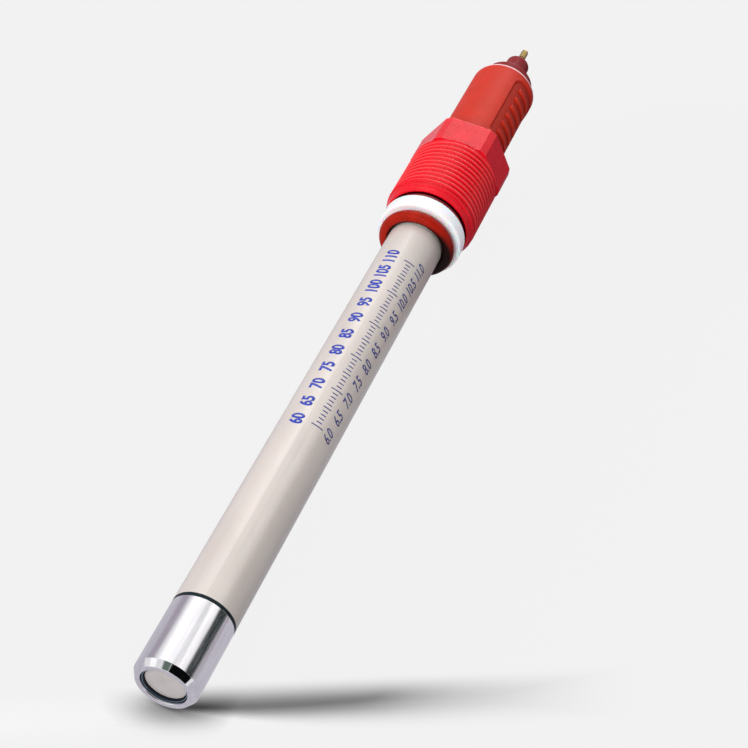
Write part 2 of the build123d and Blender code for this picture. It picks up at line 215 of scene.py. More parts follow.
def lathe(outline, angles, depth=None):
    """Closed mesh of an outline in millimetres turned about X. depth(stations, angles, radii)
    sinks its surface, in millimetres."""
    stations, radii = np.array(outline).T
    s, a = np.meshgrid(stations, angles, indexing="ij")
    r = np.repeat(radii[:, None], len(angles), axis=1)
    if depth:
        r = r - depth(s, a, r)
    points = np.stack([s, -r * np.sin(a), r * np.cos(a)], axis=-1) * MM
    index = np.arange(s.size).reshape(s.shape)
    down, right = np.roll(index, -1, axis=0), np.roll(index, -1, axis=1)
    faces = np.stack([index, right, np.roll(down, -1, axis=1), down], axis=-1)
    mesh = bpy.data.meshes.new("lathed")
    mesh.from_pydata(points.reshape(-1, 3).tolist(), [], faces.reshape(-1, 4).tolist())
    return mesh


def turned(name, outline, angles, depth=None):
    """Piece of an outline turned about the electrode's axis."""
    return placed(name, lathe(outline, angles, depth))


@contextmanager
def edited(mesh):
    """Opens a mesh for editing and writes it back."""
    edit = bmesh.new()
    edit.from_mesh(mesh)
    yield edit
    edit.to_mesh(mesh)
    edit.free()


def placed(name, mesh):
    """Piece of a closed mesh along X, laid on the electrode's axis, its faces outwards and smooth."""
    mesh.name = name
    mesh.transform(PLACE)
    with edited(mesh) as edit:
        bmesh.ops.recalc_face_normals(edit, faces=edit.faces)
    mesh.shade_smooth()
    return linked(bpy.data.objects.new(name, mesh))


def linked(thing):
    bpy.context.scene.collection.objects.link(thing)
    return thing


def crease_edges(piece, degrees):
    """Keeps edges sharper than the angle crisp."""
    with edited(piece.data) as edit:
        for edge in edit.edges:
            if len(edge.link_faces) == 2 and edge.calc_face_angle(0) > math.radians(degrees):
                edge.smooth = False


def sliced(mesh, step):
    """Cuts a flat mesh into strips across Y, so that it can be rolled round the axis. A cut that
    would leave a sliver at an end is left out."""
    sliver = step / 100
    with edited(mesh) as edit:
        ys = [v.co.y for v in edit.verts]
        for cut in range(math.floor((min(ys) + sliver) / step) + 1, math.ceil((max(ys) - sliver) / step)):
            geometry = edit.verts[:] + edit.edges[:] + edit.faces[:]
            bmesh.ops.bisect_plane(edit, geom=geometry, plane_co=(0, cut * step, 0), plane_no=(0, 1, 0))
    return mesh


def welded(name, meshes):
    """One piece of several meshes along X."""
    whole = bpy.data.meshes.new(name)
    with edited(whole) as edit:
        for mesh in meshes:
            edit.from_mesh(mesh)
        bmesh.ops.remove_doubles(edit, verts=edit.verts, dist=1e-7)
    return placed(name, whole)


def flat_bar(length, width, height, ends=6, rounding=0.0, base=0.0):
    """Closed bar with half-round ends and soft top edges, lying in the XY plane: length along Y.
    All in millimetres."""
    half = width / 2
    middle = length / 2 - half
    rings = [(1.0, base), (1.0, height - rounding)]
    if rounding:
        for a in (math.radians(30), math.radians(60), math.radians(90)):
            inset = rounding * (1 - math.cos(a))
            rings.append((1 - inset / half, height - rounding + rounding * math.sin(a)))
    points, faces = [], []
    for shrink, z in rings:
        for side, start in ((1, 0.0), (-1, math.pi)):
            for k in range(ends + 1):
                turn = start + math.pi * k / ends
                x, y = half * math.cos(turn) * shrink, half * math.sin(turn) * shrink
                points.append((x * MM, (side * middle + y) * MM, z * MM))
    count = 2 * (ends + 1)
    for ring in range(len(rings) - 1):
        for k in range(count):
            a, b = ring * count + k, ring * count + (k + 1) % count
            faces.append((a, b, b + count, a + count))
    for start, order in ((0, -1), ((len(rings) - 1) * count, 1)):
        for block in (start, start + ends + 1):
            for k in range(ends // 2):
                faces.append((block + k, block + k + 1, block + ends - k - 1, block + ends - k)[::order])
        faces.append((start, start + ends, start + ends + 1, start + count - 1)[::order])
    mesh = bpy.data.meshes.new("bar")
    mesh.from_pydata(points, [], [tuple(dict.fromkeys(face)) for face in faces])
    return mesh


def printed_number(text, station, radius, angle, height, weight, slant):
    """Mesh of a condensed number that reads along the shaft, rolled on to it at an angle in degrees.
    Height and weight, which widens the strokes, in millimetres."""
    size_over_height, narrowing, strip, thickness, sunk = 1.38, 0.78, 0.3 * MM, 0.03 * MM, 0.014 * MM
    curve = bpy.data.curves.new("number", "FONT")
    curve.body = text
    curve.size = height * MM * size_over_height
    curve.align_x, curve.align_y = "CENTER", "CENTER"
    curve.extrude = thickness
    curve.offset = weight * MM
    curve.shear = slant
    curve.resolution_u = 6
    writer = linked(bpy.data.objects.new("number", curve))
    mesh = bpy.data.meshes.new_from_object(writer.evaluated_get(bpy.context.evaluated_depsgraph_get()))
    bpy.data.objects.remove(writer)
    for vertex in sliced(mesh, strip).vertices:
        x, y, z = vertex.co
        turn = math.radians(angle) - y / radius
        out = radius - sunk + z
        vertex.co = (station + narrowing * x, -out * math.sin(turn), out * math.cos(turn))
    return mesh


def settle(piece, material, body, slot, *nodes):
    """Gives a piece its material and its place among the CAD's bodies and nodes."""
    if material.name not in [m.name for m in piece.data.materials if m]:
        piece.data.materials.clear()
        piece.data.materials.append(material)
    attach(piece, body)
    if nodes:
        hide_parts(*nodes)


def coat(material, *nodes):
    """Gives CAD nodes' objects a material."""
    for node in nodes:
        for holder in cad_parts[node].material_slots:
            holder.material = material


def new_material(name):
    material = bpy.data.materials.new(name)
    material.use_nodes = True
    return material


class Tree:
    """A node tree built one node at a time. Inputs take sockets and plain values alike."""

    def __init__(self, tree):
        self.tree = tree

    def node(self, kind, **settings):
        made = self.tree.nodes.new(kind)
        for key, value in settings.items():
            setattr(made, key, value)
        return made

    def feed(self, inputs, **values):
        """Sets inputs by their names, with _ for a space."""
        for label, value in values.items():
            self.plug(inputs[label.replace("_", " ")], value)

    def plug(self, socket, value):
        if isinstance(value, bpy.types.NodeSocket):
            self.tree.links.new(value, socket)
        else:
            socket.default_value = value

    def made(self, kind, *values, **settings):
        """First output of a node whose first inputs are the values."""
        node = self.node(kind, **settings)
        for socket, value in zip(node.inputs, values):
            self.plug(socket, value)
        return node.outputs[0]

    def math(self, operation, *values):
        return self.made("ShaderNodeMath", *values, operation=operation)

    def join(self, *parts):
        return self.made("ShaderNodeCombineXYZ", *parts)

    def split(self, vector):
        parts = self.node("ShaderNodeSeparateXYZ")
        self.plug(parts.inputs[0], vector)
        return parts.outputs

    def length(self, vector):
        measure = self.node("ShaderNodeVectorMath", operation="LENGTH")
        self.plug(measure.inputs[0], vector)
        return measure.outputs["Value"]

    def spread(self, value, low, high, start=0.3, end=0.7, easing="LINEAR"):
        """The value mapped from start..end to low..high."""
        ramp = self.node("ShaderNodeMapRange", interpolation_type=easing)
        self.feed(ramp.inputs, Value=value, From_Min=start, From_Max=end, To_Min=low, To_Max=high)
        return ramp.outputs["Result"]

    def fade(self, value, start, end, low=0, high=1):
        """The value eased from start..end, in millimetres, to low..high."""
        return self.spread(value, low, high, start * MM, end * MM, "SMOOTHSTEP")

    def mixed(self, factor, first, second, kind="RGBA", blend="MIX"):
        """Mix of two colours, or of two numbers for the kind FLOAT."""
        if kind == "RGBA":
            first, second = ((*c, 1) if isinstance(c, tuple) else c for c in (first, second))
        mix = self.node("ShaderNodeMix", data_type=kind, blend_type=blend)
        self.feed(mix.inputs, Factor=factor, A=first, B=second)
        return mix.outputs["Result"]

    def coordinates(self, start=(0, 0, 0), turn=(0, 0, 0)):
        """Object coordinates as measured from a start along turned axes."""
        place = self.node("ShaderNodeMapping", vector_type="TEXTURE")
        source = self.node("ShaderNodeTexCoord").outputs["Object"]
        self.feed(place.inputs, Vector=source, Location=start, Rotation=turn)
        return place.outputs["Vector"]

    def surface(self, factor, first, second, ending="Material Output"):
        """Ends the tree in a mix of two shaders."""
        mix = self.made("ShaderNodeMixShader", factor, first, second)
        self.feed(self.tree.nodes[ending].inputs, Surface=mix)


class Finish(Tree):
    """A Principled material whose patterns lie along the electrode's axis. A pattern is a socket, or
    the size, detail and stretch of a noise."""

    def __init__(self, name):
        self.material = new_material(name)
        super().__init__(self.material.node_tree)
        self.shader = self.tree.nodes["Principled BSDF"].inputs
        self.place = self.coordinates(TIP, (0, -CLIMB, 0))
        self.normal = None

    def noise(self, size, detail, stretch=(1, 1, 1)):
        """Noise whose features are about size millimetres, drawn out along each stretched axis."""
        scale = self.node("ShaderNodeMapping")
        self.feed(scale.inputs, Vector=self.place, Scale=[1 / MM / (size * s) for s in stretch])
        noise = self.node("ShaderNodeTexNoise")
        self.feed(noise.inputs, Vector=scale.outputs[0], Scale=1, Detail=detail, Roughness=0.5)
        return noise.outputs["Fac"]

    def pattern(self, given):
        return self.noise(*given) if isinstance(given, tuple) else given

    def paint(self, base):
        self.base = base
        self.feed(self.shader, Base_Color=base)

    def colour(self, pattern, first, second, start=0.3, end=0.7):
        """Base colour that a pattern varies between two colours."""
        self.paint(self.mixed(self.spread(self.pattern(pattern), 0, 1, start, end), first, second))

    def over(self, factor, colour):
        """Lays another colour over the base colour where the factor is 1."""
        self.paint(self.mixed(factor, self.base, colour))

    def reach(self, aside=(0, 0)):
        """Distance from the axis, or from a line beside it in Y and Z, in millimetres."""
        parts = self.split(self.place)
        y, z = (self.math("SUBTRACT", parts[axis], shift * MM) for axis, shift in zip("YZ", aside))
        return self.length(self.join(0, y, z))

    def station(self):
        return self.split(self.place)["X"]

    def between(self, value, first, last, ease):
        """1 where a length lies between two, in millimetres, fading over the ease outside them."""
        rise = self.spread(value, 0, 1, (first - ease) * MM, first * MM)
        return self.math("MULTIPLY", rise, self.spread(value, 1, 0, last * MM, (last + ease) * MM))

    def paint_shade_inside(self, colour, deep, shallow, stations=None, aside=(0, 0)):
        """Fades the base colour into another from a shallow to a deep radius, in millimetres: painted shade
        in a hollow, between two stations if they are given."""
        factor = self.spread(self.reach(aside), 1, 0, deep * MM, shallow * MM)
        if stations:
            factor = self.math("MULTIPLY", factor, self.between(self.station(), *stations, 0.1))
        self.over(factor, colour)

    def rough(self, pattern, low, high):
        """Roughness that a pattern varies between two values."""
        self.roughness = self.spread(self.pattern(pattern), low, high)
        self.feed(self.shader, Roughness=self.roughness)

    def polish(self, factor, roughness):
        """Gives another roughness where the factor is 1."""
        self.roughness = self.mixed(factor, self.roughness, roughness, "FLOAT")
        self.feed(self.shader, Roughness=self.roughness)

    def bump(self, pattern, distance):
        """Relief of a pattern, distance in millimetres, over what is there already."""
        bump = self.node("ShaderNodeBump")
        self.feed(bump.inputs, Height=self.pattern(pattern), Distance=distance * MM, Strength=1)
        if self.normal is not None:
            self.feed(bump.inputs, Normal=self.normal)
        self.normal = bump.outputs["Normal"]
        self.feed(self.shader, Normal=self.normal)

    def done(self, **values):
        """The material, with its other inputs set."""
        self.feed(self.shader, **values)
        return self.material


def tint(colour, factor):
    """A colour made lighter or darker."""
    return tuple(min(1.0, c * factor) for c in colour)


def moulded(
    name, colour, rough=(0.28, 0.40), grain=0.003, variation=0.12, gloss=0.3, shade_in_hollows=(), crest=None, rim=None
):
    """Injection-moulded plastic: cloudy colour, fine grain and faint flow marks. Each hollow with painted
    shade is given by its deep and shallow radius, its share of the colour and its stations, a painted
    highlight along the crest by its radius and stations, and a rim, polished and with a pale painted
    highlight, by its station."""
    finish = Finish(name)
    finish.colour((4.0, 4), tint(colour, 1 - variation), tint(colour, 1 + variation / 2))
    # Painted shade: each hollow fades into a darker tint of the colour
    for deep, shallow, share, *stations in shade_in_hollows:
        finish.paint_shade_inside(tint(colour, share), deep, shallow, stations)
    # Painted highlight: a pale line along the crest between the stations
    if crest:
        radius, *stations = crest
        outermost = finish.between(finish.reach(), radius, radius + 0.5, 0.08)
        along = finish.between(finish.station(), *stations, 0.1)
        finish.over(finish.math("MULTIPLY", outermost, along), CREST_HIGHLIGHT)
    finish.rough((1.6, 5), *rough)
    if rim:
        # Painted highlight on the rim: a pale colour, with a real polish in its roughness
        polished = finish.between(finish.station(), rim, rim + 1, 0.12)
        finish.over(polished, RIM_HIGHLIGHT)
        finish.polish(polished, 0.16)
    finish.bump((0.16, 4), grain)
    finish.bump((2.5, 3, (3, 1, 1)), grain * 2)
    return finish.done(IOR=1.5, Specular_IOR_Level=gloss)


def polished_steel(colour):
    """Brushed and polished steel: fine streaks along the axis, faint wipe marks, a bright chamfer."""
    finish = Finish("sleeve_steel")
    finish.colour((0.8, 5, (9, 1, 1)), tint(colour, 0.90), tint(colour, 1.05))
    finish.rough((0.5, 5, (12, 0.8, 0.8)), 0.13, 0.25)
    finish.polish(finish.spread(finish.station(), 1, 0, 1.2 * MM, 1.5 * MM), 0.06)
    finish.bump((0.16, 3, (40, 1, 1)), 0.0008)
    finish.bump((1.8, 3), 0.004)
    return finish.done(Metallic=1.0)


def shaft_plastic(colour):
    """Extruded beige plastic: cloudy, with faint draw lines along the shaft."""
    finish = Finish("shaft_plastic")
    finish.colour((7.0, 5, (3, 1, 1)), tint(colour, 0.94), tint(colour, 1.05))
    finish.rough((1.2, 4, (10, 1, 1)), 0.17, 0.27)
    finish.bump((0.35, 3, (40, 1, 1)), 0.0015)
    finish.bump((0.12, 3), 0.0006)
    return finish.done(IOR=1.5, Specular_IOR_Level=0.8, Subsurface_Weight=0.08, Subsurface_Scale=1.2 * MM)


def print_ink(name, colour):
    """Pad-printed ink, a little worn."""
    finish = Finish(name)
    wear = finish.noise(0.25, 5)
    finish.colour(wear, tuple(colour), tint(colour, 1.7), 0.35, 0.75)
    finish.rough((0.5, 3), 0.32, 0.5)
    finish.bump(wear, 0.002)
    return finish.done()


def porous_ceramic(colour):
    """Sintered ring: dark grains with open pores."""
    finish = Finish("junction_ceramic")
    cells = finish.node("ShaderNodeTexVoronoi")
    finish.feed(cells.inputs, Vector=finish.place, Scale=6 / MM)
    grain = cells.outputs["Distance"]
    finish.colour(grain, tint(colour, 0.6), tint(colour, 2.2), 0.1, 0.7)
    finish.rough((0.3, 3), 0.35, 0.6)
    finish.bump(grain, 0.015)
    return finish.done(Specular_IOR_Level=0.12)


def o_ring_rubber(colour):
    """Moulded rubber with a slight bloom, and painted shade where it meets the shaft, widest on the side
    that faces down and right."""
    finish = Finish("o_ring_red")
    finish.colour((2.2, 5), tint(colour, 0.86), tint(colour, 1.12))
    # Painted shade in the crease by the shaft; the second is wider towards the right and down
    finish.paint_shade_inside(tint(colour, 0.03), 6.3, 6.75)
    finish.paint_shade_inside(tint(colour, 0.02), 6.4, 7.6, aside=(-1.5, -0.6))
    finish.rough((0.9, 4), 0.22, 0.36)
    finish.bump((0.2, 4), 0.004)
    return finish.done(IOR=1.47, Specular_IOR_Level=0.14)


def lip_seal(colour, highlight_radius):
    """Black sealing compound round the glass, with a painted light-blue highlight line round it."""
    finish = Finish("seal_elastomer")
    finish.colour((2.2, 5), tint(colour, 0.8), tint(colour, 1.2))
    # Painted highlight: a light-blue line at the given radius
    finish.over(finish.between(finish.reach(), highlight_radius, highlight_radius, 0.06), (0.20, 0.33, 0.47))
    finish.rough((0.9, 4), 0.10, 0.18)
    finish.bump((0.2, 4), 0.004)
    return finish.done(IOR=1.47, Specular_IOR_Level=0.3)


def bearing_plastic(colour):
    """White bearing plastic with turning rings."""
    finish = Finish("ring_white")
    finish.colour((3.0, 4), tint(colour, 0.97), tint(colour, 1.02))
    finish.rough((0.6, 3, (0.3, 6, 6)), 0.34, 0.46)
    finish.bump((0.12, 3, (0.6, 60, 60)), 0.003)
    return finish.done(Subsurface_Weight=0.6, Subsurface_Scale=2.5 * MM)


def membrane_glass():
    """Thin glass over grey gel: milky, glossy, a little uneven from blowing."""
    finish = Finish("stem_glass")
    finish.colour((3.5, 3), (0.61, 0.56, 0.54), (0.70, 0.64, 0.63))
    finish.rough((1.5, 3), 0.04, 0.10)
    finish.bump((4.0, 2), 0.03)
    return finish.done(IOR=1.52, Transmission_Weight=0.25, Coat_Weight=0.5, Coat_Roughness=0.04)


def plated(colour):
    """Gold plating over a turned contact."""
    finish = Finish("contact_gold")
    finish.colour((0.8, 4), tint(colour, 0.82), tint(colour, 1.06))
    finish.rough((0.4, 4, (0.3, 6, 6)), 0.16, 0.30)
    finish.bump((0.08, 3, (0.6, 40, 40)), 0.0015)
    return finish.done(Metallic=1.0)


def plain_inner(name, first, second, size, low, high, metallic=0.0):
    """Finish of a piece inside the electrode."""
    finish = Finish(name)
    finish.colour((size, 4), first, second)
    finish.rough((size / 2, 3), low, high)
    finish.bump((size / 4, 3), 0.004)
    return finish.done(Metallic=metallic)


# Pieces inside, without the silver ones: material, its two colours, size of its clouds, lowest and
# highest roughness, and its nodes
INNER = (
    ("bung_silicone", (0.55, 0.55, 0.52), (0.66, 0.66, 0.62), 2.0, 0.45, 0.6, "stem_bung", "chamber_bung"),
    ("buffer_gel", (0.52, 0.55, 0.60), (0.60, 0.63, 0.68), 5.0, 0.1, 0.2, "inner_buffer"),
    ("electrolyte", (0.60, 0.60, 0.55), (0.70, 0.70, 0.66), 4.0, 0.3, 0.5, "reference_gel"),
    ("potting_resin", (0.02, 0.02, 0.024), (0.05, 0.05, 0.055), 2.5, 0.3, 0.5, "potting"),
    ("lead_clear", (0.60, 0.60, 0.56), (0.72, 0.72, 0.68), 1.5, 0.3, 0.4, "measuring_lead"),
    ("lead_black", (0.015, 0.015, 0.016), (0.04, 0.04, 0.042), 1.0, 0.4, 0.5, "reference_lead"),
    ("shrink_sleeve", (0.02, 0.02, 0.02), (0.05, 0.05, 0.05), 1.0, 0.4, 0.6, "joint_sleeve"),
)


class Recipe(Tree):
    """A geometry node tree with named inputs, which ends in real geometry of a given material."""

    def __init__(self, name, inputs):
        super().__init__(bpy.data.node_groups.new(name, "GeometryNodeTree"))
        self.socket("Geometry", "Geometry")
        for label, value in inputs.items():
            self.socket(label, "Int" if isinstance(value, int) else "Float").default_value = value
        self.socket("Material", "Material")
        self.socket("Geometry", "Geometry", "OUTPUT")
        self.given = self.node("NodeGroupInput").outputs
        self.result = self.node("NodeGroupOutput")
        self.point = self.split(self.node("GeometryNodeInputPosition").outputs[0])

    def socket(self, label, kind, side="INPUT"):
        return self.tree.interface.new_socket(label, in_out=side, socket_type="NodeSocket" + kind)

    def moved(self, geometry, position, selection=True):
        """The geometry with its selected points elsewhere."""
        move = self.node("GeometryNodeSetPosition")
        self.feed(move.inputs, Geometry=geometry, Selection=selection, Position=position)
        return move.outputs[0]

    def finish(self, geometry):
        paint = self.node("GeometryNodeSetMaterial")
        real = self.made("GeometryNodeRealizeInstances", geometry)
        self.feed(paint.inputs, Geometry=real, Material=self.given["Material"])
        self.plug(self.result.inputs[0], paint.outputs[0])
        return self.tree


def thread_recipe():
    """Cuts a right-handed thread into a turned blank that lies along X."""
    recipe = Recipe(
        "Cut thread",
        {
            "Crest radius": 10.2 * MM,
            "Depth": 0.68 * MM,
            "Pitch": 1.411 * MM,
            "End": HEX_START * MM,
            "Run out": 1.3 * MM,
            "Blend": 0.12 * MM,
            "Wall": 1.6 * MM,
        },
    )
    given, calc = recipe.given, recipe.math
    x, y, z = recipe.point
    radius = calc("SQRT", calc("ADD", calc("MULTIPLY", y, y), calc("MULTIPLY", z, z)))
    turn = calc("DIVIDE", calc("ARCTAN2", z, y), 2 * math.pi)
    from_end = calc("SUBTRACT", given["End"], x)
    phase = calc("FRACT", calc("ADD", calc("DIVIDE", from_end, given["Pitch"]), turn))
    ridge = calc("ABSOLUTE", calc("SUBTRACT", calc("MULTIPLY", phase, 2), 1))
    groove = calc("MULTIPLY", calc("ADD", calc("COSINE", calc("MULTIPLY", ridge, math.pi)), 1), 0.5)
    ease = recipe.spread(from_end, 0, 1, 0, given["Run out"], "SMOOTHSTEP")
    cut = calc("MULTIPLY", calc("MULTIPLY", groove, given["Depth"]), ease)
    lowered = calc("SMOOTH_MIN", radius, calc("SUBTRACT", given["Crest radius"], cut), given["Blend"])
    ratio = calc("DIVIDE", lowered, radius)
    outside = calc("GREATER_THAN", radius, calc("SUBTRACT", given["Crest radius"], given["Wall"]))
    before = calc("GREATER_THAN", from_end, 0.01 * MM)
    position = recipe.join(x, calc("MULTIPLY", y, ratio), calc("MULTIPLY", z, ratio))
    return recipe.finish(recipe.moved(given["Geometry"], position, calc("MULTIPLY", outside, before)))


def row_recipe():
    """Repeats a small flat piece along X and rolls the row round the axis: Y is the way round, Z the
    height over the radius. Every fifth copy is longer and every tenth longer still, if the
    growths are set."""
    recipe = Recipe(
        "Row round the axis",
        {
            "Count": 5,
            "Start": 0.0,
            "Spacing": 1 * MM,
            "Way round": 0.0,
            "Radius": 6 * MM,
            "Fifth": 1.0,
            "Tenth": 1.0,
        },
    )
    given, calc = recipe.given, recipe.math
    line = recipe.node("GeometryNodeMeshLine")
    start, step = recipe.join(given["Start"], given["Way round"], 0), recipe.join(given["Spacing"], 0, 0)
    recipe.feed(line.inputs, Count=given["Count"], Start_Location=start, Offset=step)
    number = recipe.node("GeometryNodeInputIndex").outputs[0]
    growths = []
    for every, growth in ((5, "Fifth"), (10, "Tenth")):
        chosen = calc("LESS_THAN", calc("MODULO", number, every), 0.5)
        growths.append(calc("MULTIPLY", chosen, calc("SUBTRACT", given[growth], 1)))
    growth = calc("ADD", 1, calc("MAXIMUM", *growths))
    copies = recipe.node("GeometryNodeInstanceOnPoints")
    scale = recipe.join(1, growth, 1)
    recipe.feed(copies.inputs, Points=line.outputs[0], Instance=given["Geometry"], Scale=scale)
    x, y, z = recipe.point
    angle, height = calc("DIVIDE", y, given["Radius"]), calc("ADD", z, given["Radius"])
    across = calc("MULTIPLY", calc("MULTIPLY", height, calc("SINE", angle)), -1)
    rolled = recipe.join(x, across, calc("MULTIPLY", height, calc("COSINE", angle)))
    return recipe.finish(recipe.moved(recipe.made("GeometryNodeRealizeInstances", copies.outputs[0]), rolled))


def grown(name, source, tree, material, **values):
    """Piece of what a node tree makes of a source mesh lying along X."""
    carrier = linked(bpy.data.objects.new(name + "_source", source))
    modifier = carrier.modifiers.new("Pattern", "NODES")
    modifier.node_group = tree
    keys = {item.name: item.identifier for item in tree.interface.items_tree if item.in_out == "INPUT"}
    modifier[keys["Material"]] = material
    for label, value in values.items():
        modifier[keys[label.replace("_", " ")]] = value
    mesh = bpy.data.meshes.new_from_object(carrier.evaluated_get(bpy.context.evaluated_depsgraph_get()))
    carrier.modifiers.remove(modifier)
    bpy.data.objects.remove(carrier)
    return placed(name, mesh)


class ELECTRODE_OT_tip(bpy.types.Operator):
    """Steel sleeve with its window, and the finishes of the membrane, its seal and the junction"""

    bl_idname = "electrode.tip"
    bl_label = "Tip"

    def execute(self, context):
        sizes, colours = context.scene.electrode_sizes, context.scene.electrode_colours
        face, window = sizes.face_diameter / 2 / MM, sizes.window_diameter / 2 / MM
        length, wall, lip, chamfer, inset = sizes.sleeve_length / MM, 0.7, 1.6, 1.3, 0.006
        outer = sizes.shaft_diameter / 2 / MM - inset
        outline = rounded(
            (0, window, 0.22),
            (0, face, 0.16),
            (chamfer, outer, 0.10),
            (length, outer, 0.08),
            (length, outer - wall, 0.05),
            (lip, outer - wall, 0.05),
            (lip, window, 0.05),
        )
        sleeve = turned("sleeve_shell", outline, all_round(192))
        settle(sleeve, polished_steel(colours.steel), "electrode", "sleeve_steel", "tip_sleeve")
        coat(lip_seal(colours.seal, window - 0.22), "membrane_seal")
        coat(membrane_glass(), "glass_stem")
        coat(porous_ceramic(colours.junction), "junction_ring")
        return {"FINISHED"}


class ELECTRODE_OT_shaft(bpy.types.Operator):
    """Shaft plastic and the printed depth scale with plain numbers"""

    bl_idname = "electrode.shaft"
    bl_label = "Shaft and depth scale"

    def execute(self, context):
        sizes, colours = context.scene.electrode_sizes, context.scene.electrode_colours
        coat(shaft_plastic(colours.shaft), "shaft")
        bold, fine = print_ink("print_ink", colours.ink), print_ink("fine_ink", colours.fine_ink)
        radius = sizes.shaft_diameter / 2
        marks = grown(
            "depth_marks",
            sliced(flat_bar(1.2, 0.24, 0.016, base=-0.05), 0.15 * MM),
            row_recipe(),
            fine,
            Count=sizes.scale_count,
            Start=sizes.scale_start,
            Spacing=sizes.scale_step,
            Way_round=radius * math.radians(22),
            Radius=radius,
            Fifth=1.5,
            Tenth=2.2,
        )
        settle(marks, fine, "electrode", None)
        millimetres, centimetres = [], []
        steps = int(round((sizes.scale_count - 1) * sizes.scale_step / sizes.number_step))
        for k in range(steps + 1):
            station = sizes.scale_start + sizes.number_step * k
            depth = station / MM
            millimetres.append(printed_number(f"{depth:.0f}", station, radius, -17, 2.6, 0.12, 0))
            centimetres.append(printed_number(f"{depth / 10:.1f}", station, radius, 52, 2.2, 0.03, 0.2))
        settle(welded("depth_millimetres", millimetres), bold, "electrode", None)
        settle(welded("depth_centimetres", centimetres), fine, "electrode", None)
        return {"FINISHED"}


class ELECTRODE_OT_seal_rings(bpy.types.Operator):
    """O-ring finish, the white slip ring and the collar behind it"""

    bl_idname = "electrode.seal_rings"
    bl_label = "O-ring, slip ring and collar"

    def execute(self, context):
        sizes, colours = context.scene.electrode_sizes, context.scene.electrode_colours
        coat(o_ring_rubber(colours.o_ring), "o_ring")
        outer, bevel, collar_radius = sizes.slip_ring_diameter / 2 / MM, 0.4, 8.75
        ring_outline = rounded(
            (RING_START, RING_BORE, 0.1),
            (RING_START, outer - bevel, 0.12),
            (RING_START + bevel, outer, 0.15),
            (RING_END, outer, 0.2),
            (RING_END, RING_BORE, 0.1),
        )
        ring = turned("slip_ring_shell", ring_outline, all_round(192))
        settle(ring, bearing_plastic(colours.slip_ring), "ring", "ring_white", "slip_ring")
        collar_outline = rounded(
            (COLLAR_START, JOURNAL_BORE, 0),
            (COLLAR_START, collar_radius, 0.25),
            (COLLAR_END, collar_radius, 0.25),
            (COLLAR_END, JOURNAL_BORE, 0),
        )
        collar = turned("collar_shell", collar_outline, all_round(192))
        red = moulded("collar_red", colours.collar, (0.25, 0.36))
        settle(collar, red, "electrode", "collar_red", "retaining_collar")
        return {"FINISHED"}


class ELECTRODE_OT_screw_cap(bpy.types.Operator):
    """Cap with its cut thread and the hexagon with turned corners"""

    bl_idname = "electrode.screw_cap"
    bl_label = "Screw cap"

    def execute(self, context):
        sizes, colours = context.scene.electrode_sizes, context.scene.electrode_colours
        crest, nose = sizes.thread_diameter / 2 / MM, 9.25
        lead_in_end, recess, recess_end = CAP_START + 2.6, nose - 0.33, CAP_START + 0.9
        red = moulded(
            "cap_red",
            colours.cap,
            (0.22, 0.32),
            grain=0.002,
            gloss=0.28,
            # Painted shade: the grooves darker towards their roots and the recess in the face nearly black;
            # below, a painted highlight along the crests
            shade_in_hollows=[
                (crest - 0.60, crest - 0.22, 0.86, lead_in_end - 0.8, HEX_START),
                (recess, recess + 0.06, 0.06, CAP_START - 0.1, CAP_START + 1),
            ],
            crest=(crest - 0.10, lead_in_end + 0.4, HEX_START - 1),
        )
        corners = rounded(
            (recess_end, CAP_BORE + 0.3, 0.05),
            (recess_end, recess, 0.05),
            (CAP_START, recess, 0.05),
            (CAP_START, nose, 0.2),
            (lead_in_end, crest, 0.3),
            (HEX_START, crest, 0.22),
            (HEX_START, CAP_BORE, 0),
            (recess_end + 0.3, CAP_BORE, 0.05),
        )
        outline = thicken_rows(corners, CAP_START + 0.2, HEX_START - 0.25, nose - 0.3, 0.07)
        thread = grown(
            "cap_thread",
            lathe(outline, all_round(240)),
            thread_recipe(),
            red,
            Crest_radius=sizes.thread_diameter / 2,
            Depth=sizes.thread_depth,
            Pitch=sizes.thread_pitch,
            End=HEX_START * MM,
        )
        settle(thread, red, "cap", "cap_red", "screw_cap")
        hexagon = self.hexagon(sizes.hex_across_flats / 2 / MM, sizes.hex_corner_diameter / 2 / MM)
        settle(hexagon, red, "cap", "cap_red")
        return {"FINISHED"}

    def hexagon(self, flat, corner):
        """Hexagonal ring whose corners are arcs of the turned diameter, with soft edges."""
        half, sixth, start = math.acos(flat / corner), math.pi / 3, HEX_START - 0.02
        angles = []
        for side in range(6):
            angles += list(side * sixth + np.linspace(-half, half, 9))
            angles += list(side * sixth + np.linspace(half, sixth - half, 5)[1:-1])
        angles = np.unique(np.round(np.array(angles) % (2 * math.pi), 9))

        def sink(stations, turns, radii):
            wrapped = (turns + sixth / 2) % sixth - sixth / 2
            wall = np.minimum(flat / np.cos(wrapped), corner)
            share = np.clip((radii - CAP_BORE) / (corner - CAP_BORE), 0, 1)
            return share * (corner - wall)

        foot = (start, CAP_BORE, 0), (start, corner, 0.1)
        top = (CAP_END, corner, 0.4), (CAP_END, CAP_BORE, 0.1)
        piece = turned("cap_hexagon", rounded(*foot, *top, steps=4), angles, sink)
        crease_edges(piece, 18)
        return piece


